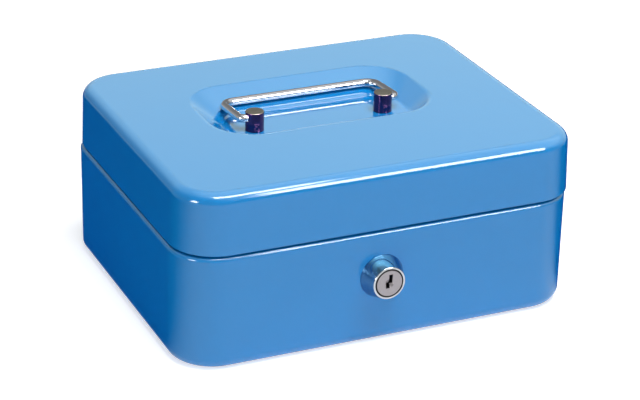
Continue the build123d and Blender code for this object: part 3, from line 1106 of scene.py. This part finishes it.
@dataclass
class Lock:
    """Cam lock: turned housing, plug, wafers and cam."""

    axis_x: float = -3.4 * MM
    axis_z: float = 33.6 * MM
    wall_y: float = -80.0 * MM
    head_radius: float = 10.8 * MM
    head_edge_start: float = 0.25 * MM
    head_edge_end: float = 0.5 * MM
    face_radius: float = 8.0 * MM
    face_edge: float = 0.45 * MM
    face_edge_arc: tuple[float, float] = (75.0, 20.0)
    face_edge_steps: int = 4
    bevel: float = 0.12 * MM
    protrusion: float = 8.4 * MM
    groove_radius: float = 7.0 * MM
    groove_depth: float = 0.8 * MM
    groove_margin: float = 0.02 * MM
    groove_floor_margin: float = 0.1 * MM
    bore_radius: float = 6.35 * MM
    barrel_radius: float = 8.0 * MM
    barrel_length: float = 18.0 * MM
    barrel_chamfer: float = 0.3 * MM
    thread_start: float = 1.0 * MM
    thread_pitch: float = 1.0 * MM
    thread_depth: float = 0.45 * MM
    housing_steps: int = 128
    face_normal_y: float = -0.6

    def housing(self) -> bpy.types.Object:
        """Builds the housing by turning its outline, with its thread as close grooves.

        Returns:
            The housing.
        """
        front, face, edge, bevel = self.protrusion, self.face_radius, self.face_edge, self.bevel
        floor = front - self.groove_depth
        profile = [(self.bore_radius, -self.barrel_length), (self.bore_radius, floor)]
        profile += [(self.groove_radius, floor), (self.groove_radius, front - bevel)]
        profile += [(self.groove_radius + bevel, front), (face - edge, front)]
        steps = self.face_edge_steps
        profile += arc((face - edge, front - edge), edge, *self.face_edge_arc, steps)
        profile.append((self.head_radius - bevel, self.head_edge_end))
        profile += [(self.head_radius, self.head_edge_start), (self.head_radius, 0.0)]
        profile.append((self.barrel_radius, 0.0))
        turns = int((self.barrel_length - self.thread_start) / self.thread_pitch)
        for turn in range(turns):
            start = -self.thread_start - turn * self.thread_pitch
            profile.append((self.barrel_radius, start))
            profile.append((self.barrel_radius - self.thread_depth, start - self.thread_pitch / 2))
        profile.append((self.barrel_radius - self.barrel_chamfer, -self.barrel_length))
        profile.append((self.bore_radius, -self.barrel_length))
        origin = Vector((self.axis_x, self.wall_y, self.axis_z))
        return lathe("lock_body", profile, origin, Vector((0.0, -1.0, 0.0)), self.housing_steps)

    def in_groove(self, face: bpy.types.MeshPolygon) -> bool:
        """Tells whether a face of the housing is in the groove round the plug.

        Args:
            face: The face.

        Returns:
            True if it is.
        """
        centre = face.center
        far = math.hypot(centre.x - self.axis_x, centre.z - self.axis_z)
        floor = self.wall_y - self.protrusion + self.groove_depth
        near_floor = centre.y < floor + self.groove_floor_margin
        return far < self.groove_radius + self.groove_margin and near_floor

    def on_cone(self, face: bpy.types.MeshPolygon) -> bool:
        """Tells whether a face of the housing is on the head's cone."""
        outside = face.normal.y > self.face_normal_y and face.center.y < self.wall_y
        return outside and not self.in_groove(face)

    def build(self, frame: dict, finishes: Finishes) -> None:
        """Builds and dresses the lock.

        Args:
            finishes: The materials.
        """
        housing = self.housing()
        dress(housing, finishes.lock_chrome)
        # The cone's faces get the blue painted reflection of the front wall.
        dress_faces(housing, finishes.lock_cone, self.on_cone)
        # The groove's faces get painted shade.
        dress_faces(housing, finishes.groove, self.in_groove)
        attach(housing, Body.BASE.value)
        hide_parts("lock_housing")
        dress_nodes(frame, ("lock_plug",), finishes.lock_face)
        dress_nodes(frame, ("lock_wafers",), finishes.brass)
        steel = ("wafer_springs", "lock_cam", "cam_washer", "cam_screw")
        dress_nodes(frame, steel, finishes.zinc)
        LOG.info("lock: %s", housing.name)


@dataclass
class Tray:
    """Lift-out tray with its dividers."""

    nodes: tuple[str, ...] = ("coin_tray", "row_dividers", "note_divider", "cup_dividers")

    def build(self, frame: dict, finishes: Finishes) -> None:
        """Dresses the tray's nodes.

        Args:
            finishes: The materials.
        """
        dress_nodes(frame, self.nodes, finishes.plastic)
        LOG.info("tray: %d nodes", len(self.nodes))


# Studio


class Sees(Enum):
    """The kind of light that a lamp gives, as lighting and highlights are set apart."""

    GLOSS = "gloss"
    DIFFUSE = "diffuse"


@dataclass(frozen=True)
class Softbox:
    """One rectangular lamp, by the two ends of its long side and the width across it."""

    name: str
    start: Point
    end: Point
    width: float
    radiance: float
    seen_by: Sees


@dataclass(frozen=True)
class BrightPatch:
    """A lit part of the room that shows in gloss, round one direction from the object.

    It is full inside the inner angle and gone outside the outer one, in degrees.
    """

    towards: Point
    inner: float
    outer: float
    strength: float


@dataclass(frozen=True)
class ShadeSheet:
    """Painted shade with a painted blue reflection: a dark sheet on the floor, mirrored by the
    enamel alone, that fades out round the box's front corner.

    Its fade is between two bearings from the corner's centre, by the Y of their unit vectors.
    """

    name: str
    left: float
    right: float
    corner: tuple[float, float]
    fade: tuple[float, float]
    glow: float


@dataclass
class Studio:
    """Pale floor, soft lamps, the room that shows in gloss, sheets of painted shade, and the
    camera.
    """

    yaw: float = -24.66
    pitch: float = 24.68
    roll: float = 1.45
    distance: float = 1.06797
    target: Point = (-0.0063, -0.01667, 0.045)
    lens: float = 125.67
    sensor: float = 36.0
    fill: float = 0.12
    floor_size: float = 6.0
    floor_level: float = -0.05 * MM
    floor_grey: float = 0.88
    floor_glow: float = 0.60
    floor_whitens: tuple[float, float] = (0.5, 1.6)
    lamp_target: Point = (0.0, 0.0, 0.05)
    softboxes: tuple[Softbox, ...] = (
        Softbox("key", (0.37, -1.03, 0.82), (0.80, -1.03, 0.82), 0.50, 22.0, Sees.GLOSS),
        Softbox("overhead", (-0.26, -0.47, 1.15), (0.44, -0.53, 1.15), 0.28, 24.0, Sees.GLOSS),
        Softbox("top_fill", (-0.30, -0.35, 1.35), (0.60, -0.35, 1.35), 0.70, 8.8, Sees.DIFFUSE),
        Softbox("left_fill", (-1.00, -0.60, 0.60), (-1.00, 0.00, 0.60), 0.40, 0.5, Sees.DIFFUSE),
        Softbox("front_fill", (-1.30, -1.45, 0.60), (0.30, -1.75, 0.60), 1.00, 1.55, Sees.DIFFUSE),
    )
    room_radius: float = 4.0
    room_level: float = 0.45
    panel: BrightPatch = BrightPatch((0.36, -0.15, 0.92), 36.0, 54.0, 1.5)
    side_lamp: BrightPatch = BrightPatch((-0.90, -0.36, 0.245), 8.0, 10.0, 20.0)
    backdrop_radius: float = 3.6
    backdrop: BrightPatch = BrightPatch((0.38, 0.30, 0.87), 45.0, 85.0, 3.0)
    backdrop_top: BrightPatch = BrightPatch((0.38, 0.0, 0.92), 25.0, 48.0, 2.5)
    backdrop_tint: Colour = (0.84, 1.10, 0.96)
    backdrop_cover: float = 0.5
    # Sheets of painted shade: dark sheets beside the box that the enamelled sides mirror in place
    # of the shaded floor.
    shade_level: float = 0.2 * MM
    shade_reach: float = 1.4
    shade_colour: Colour = (0.0, 0.0, 0.004)
    # Blue glow of those sheets: a painted blue reflection in the enamel's sides.
    painted_blue_glow: Colour = (0.0, 0.02, 1.0)
    shade_sheets: tuple[ShadeSheet, ...] = (
        ShadeSheet("left", -1.2, -0.101, (-0.078, -0.058), (-0.70, 0.50), 0.34),
        ShadeSheet("right", 0.101, 1.2, (0.078, -0.058), (-0.72, -0.05), 0.25),
    )

    def camera(self) -> None:
        """Puts the camera at the photograph's angle."""
        yaw, pitch, roll = (math.radians(a) for a in (self.yaw, self.pitch, self.roll))
        back = Vector(
            (math.sin(yaw) * math.cos(pitch), -math.cos(yaw) * math.cos(pitch), math.sin(pitch))
        )
        right = (-back).cross(Vector((0.0, 0.0, 1.0))).normalized()
        up = right.cross(-back)
        x_axis = right * math.cos(roll) + up * math.sin(roll)
        y_axis = up * math.cos(roll) - right * math.sin(roll)
        data = bpy.data.cameras.new("camera")
        data.lens = self.lens
        data.sensor_width = self.sensor
        camera = linked("camera", data)
        stand(camera, (x_axis, y_axis, back), Vector(self.target) + back * self.distance)
        bpy.context.scene.camera = camera

    def lamp(self, box: Softbox) -> None:
        """Hangs one softbox so that it faces the object.

        Args:
            box: The softbox.
        """
        start, end = Vector(box.start), Vector(box.end)
        middle = (start + end) / 2
        long_side = (end - start).normalized()
        across = (middle - Vector(self.lamp_target)).cross(long_side).normalized()
        data = bpy.data.lights.new(box.name, "AREA")
        data.shape = "RECTANGLE"
        data.size = (end - start).length
        data.size_y = box.width
        data.energy = box.radiance * math.pi * data.size * data.size_y
        lamp = linked(box.name, data)
        stand(lamp, (long_side, across, long_side.cross(across)), middle)
        lamp.visible_camera = False
        lamp.visible_glossy = box.seen_by is Sees.GLOSS
        lamp.visible_diffuse = box.seen_by is Sees.DIFFUSE

    @staticmethod
    def glowing(name: str, base: Colour, glow: Colour) -> tuple[bpy.types.Material, bpy.types.Node]:
        """Makes a matt material that glows.

        Args:
            name: Name of the material.
            base: Its own colour.
            glow: Colour of its glow.

        Returns:
            The material and its Principled node.
        """
        material, shader = new_material(name)
        inputs: Inputs = {"Base Color": (*base, 1.0), "Roughness": 0.9, "Specular IOR Level": 0.0}
        feed(material.node_tree, shader, inputs | {"Emission Color": (*glow, 1.0)})
        return material, shader

    @staticmethod
    def gloss_only(piece: bpy.types.Object) -> None:
        """Lets a stage piece show in reflections alone, and light nothing.

        Args:
            piece: The piece, which has its material.
        """
        piece.data.materials[0].cycles.emission_sampling = "NONE"
        piece.visible_camera = False
        piece.visible_diffuse = False
        piece.visible_transmission = False
        piece.visible_volume_scatter = False
        piece.visible_shadow = False

    @staticmethod
    def light_only(source: bpy.types.Object, pieces: Sequence[bpy.types.Object]) -> None:
        """Lets a glowing piece reach some pieces alone.

        Args:
            source: The glowing piece.
            pieces: The pieces that it reaches.
        """
        receivers = bpy.data.collections.new(f"{source.name}_receivers")
        for piece in pieces:
            receivers.objects.link(piece)
        source.light_linking.receiver_collection = receivers

    def shell_round(
        self, name: str, radius: float, glow: Colour
    ) -> tuple[bpy.types.Object, bpy.types.NodeTree, bpy.types.Node]:
        """Puts a sphere round the stage that shows in gloss alone.

        Args:
            name: Name of the sphere.
            radius: Its radius.
            glow: Colour of its glow.

        Returns:
            The sphere, its material's tree and its Principled node.
        """
        build = bmesh.new()
        bmesh.ops.create_uvsphere(build, u_segments=48, v_segments=24, radius=radius)
        mesh = bpy.data.meshes.new(name)
        build.to_mesh(mesh)
        build.free()
        shell = linked(name, mesh)
        material, shader = self.glowing(name, BLACK, glow)
        mesh.materials.append(material)
        self.gloss_only(shell)
        return shell, material.node_tree, shader

    @staticmethod
    def patch_level(
        tree: bpy.types.NodeTree, patch: BrightPatch, low: float, high: float
    ) -> bpy.types.NodeSocket:
        """A level that rises smoothly towards a patch's direction.

        Args:
            tree: The sphere's tree.
            patch: The patch.
            low: The level outside it.
            high: The level in it.

        Returns:
            The level.
        """
        place = add_node(tree, "NewGeometry").outputs["Position"]
        outward = vector_math(tree, "NORMALIZE", place).outputs["Vector"]
        middle = Vector(patch.towards).normalized()
        near = vector_math(tree, "DOT_PRODUCT", outward, middle).outputs["Value"]
        limits = (math.cos(math.radians(patch.outer)), math.cos(math.radians(patch.inner)))
        return smooth_step(tree, near, limits, (low, high))

    def room(self, painted: Sequence[bpy.types.Object]) -> None:
        """Builds a dim room with a lit panel, and a backdrop that only the enamel mirrors.

        Args:
            painted: The enamelled pieces.
        """
        _, tree, shader = self.shell_round("room", self.room_radius, WHITE)
        lit = self.patch_level(tree, self.panel, self.room_level, self.panel.strength)
        side = self.patch_level(tree, self.side_lamp, 0.0, self.side_lamp.strength)
        feed(tree, shader, {"Emission Strength": plain_math(tree, "ADD", lit, side)})
        shell, tree, shader = self.shell_round("backdrop", self.backdrop_radius, self.backdrop_tint)
        low = self.patch_level(tree, self.backdrop, 0.0, self.backdrop.strength)
        high = self.patch_level(tree, self.backdrop_top, 0.0, self.backdrop_top.strength)
        cover = self.patch_level(tree, self.backdrop, 0.0, self.backdrop_cover)
        level = plain_math(tree, "ADD", low, high)
        feed(tree, shader, {"Emission Strength": level, "Alpha": cover})
        self.light_only(shell, painted)

    @staticmethod
    def flat_sheet(
        name: str, x_range: tuple[float, float], half_y: float, level: float
    ) -> bpy.types.Object:
        """Lays a rectangle on the floor.

        Args:
            name: Name of the new object.
            x_range: Its left and right sides.
            half_y: How far it reaches to the front and to the rear.
            level: Its height.

        Returns:
            The new object, linked to the scene.
        """
        left, right = x_range
        corners = ((left, -half_y), (right, -half_y), (right, half_y), (left, half_y))
        mesh = bpy.data.meshes.new(name)
        mesh.from_pydata([(x, y, 0.0) for x, y in corners], [], [(0, 1, 2, 3)])
        sheet = linked(name, mesh)
        sheet.location.z = level
        return sheet

    def shade_sheet(self, shade_spec: ShadeSheet, painted: Sequence[bpy.types.Object]) -> None:
        """Lays a dark sheet of painted shade beside the box, which its side mirrors in place of the
        floor, with a faint painted blue glow.

        Args:
            shade_spec: The sheet of painted shade.
            painted: The enamelled pieces, which alone mirror it.
        """
        # Near black with a blue glow: painted shade and a painted blue reflection in the enamel.
        material, shader = self.glowing(f"cloth_{shade_spec.name}", self.shade_colour, self.painted_blue_glow)
        tree = material.node_tree
        place = add_node(tree, "NewGeometry").outputs["Position"]
        offset = vector_math(tree, "SUBTRACT", place, (*shade_spec.corner, 0.0)).outputs["Vector"]
        bearing = vector_math(tree, "NORMALIZE", offset).outputs["Vector"]
        split = add_node(tree, "SeparateXYZ", {"Vector": bearing})
        cover = smooth_step(tree, split.outputs["Y"], shade_spec.fade)
        feed(tree, shader, {"Emission Strength": shade_spec.glow, "Alpha": cover})
        name = f"dark_cloth_{shade_spec.name}"
        sheet = self.flat_sheet(name, (shade_spec.left, shade_spec.right), self.shade_reach, self.shade_level)
        sheet.data.materials.append(material)
        self.gloss_only(sheet)
        self.light_only(sheet, painted)

    @staticmethod
    def seen_share(tree: bpy.types.NodeTree) -> bpy.types.NodeSocket:
        """A share of 1 for rays from the camera, off gloss or through glass.

        Args:
            tree: The tree that gets the nodes.

        Returns:
            The share, which is 0 for all other rays.
        """
        path = add_node(tree, "LightPath").outputs
        seen = plain_math(tree, "MAXIMUM", path["Is Camera Ray"], path["Is Glossy Ray"])
        return plain_math(tree, "MAXIMUM", seen, path["Is Transmission Ray"])

    def world(self) -> None:
        """Makes the world white where it is seen, and softer where it lights."""
        world = bpy.data.worlds.new("studio")
        world.use_nodes = True
        tree = world.node_tree
        inputs: Inputs = {"Factor": self.seen_share(tree), 2: self.fill, 3: 1.0}
        level = add_node(tree, "Mix", inputs, data_type="FLOAT").outputs[0]
        feed(tree, tree.nodes["Background"], {"Color": (*WHITE, 1.0), "Strength": level})
        bpy.context.scene.world = world

    def floor(self) -> None:
        """Lays a plain pale floor that keeps a faint shadow and is white far from the object."""
        half = self.floor_size / 2
        floor = self.flat_sheet("floor", (-half, half), half, self.floor_level)
        grey = (self.floor_grey, self.floor_grey, self.floor_grey)
        material, shader = self.glowing("floor_paper", grey, WHITE)
        tree = material.node_tree
        place = add_node(tree, "NewGeometry").outputs["Position"]
        away = vector_math(tree, "LENGTH", place).outputs["Value"]
        level = smooth_step(tree, away, self.floor_whitens, (self.floor_glow, 1.0))
        glow = plain_math(tree, "MULTIPLY", self.seen_share(tree), level)
        feed(tree, shader, {"Emission Strength": glow})
        floor.data.materials.append(material)

    def build(self, painted: Sequence[bpy.types.Object]) -> None:
        """Builds the whole studio.

        Args:
            painted: The enamelled pieces, which alone mirror the backdrop and the sheets of painted
                shade.
        """
        self.floor()
        self.world()
        self.room(painted)
        # Dark sheets of painted shade beside the box, mirrored by the enamel alone.
        for shade_spec in self.shade_sheets:
            self.shade_sheet(shade_spec, painted)
        for box in self.softboxes:
            self.lamp(box)
        self.camera()
        bpy.context.scene.view_settings.view_transform = "Standard"
        LOG.info("studio: floor, world, room, %d lamps and camera", len(self.softboxes))


def main() -> None:
    """Builds the strongbox's pieces in order, then the studio."""
    logging.basicConfig(level=logging.INFO, format="%(message)s")
    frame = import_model()
    effects = Effects()
    lock = Lock()
    finishes = Finishes(effects, (lock.axis_x, lock.wall_y, lock.axis_z))
    for assembly in (Base(), Lid(), Handle(), lock, Tray()):
        assembly.build(frame, finishes)
    painted = [
        piece for piece in bpy.data.objects
        if piece.type == "MESH" and finishes.paint.name in piece.data.materials
    ]
    Studio().build(painted)


if __name__ == "__main__":
    main()
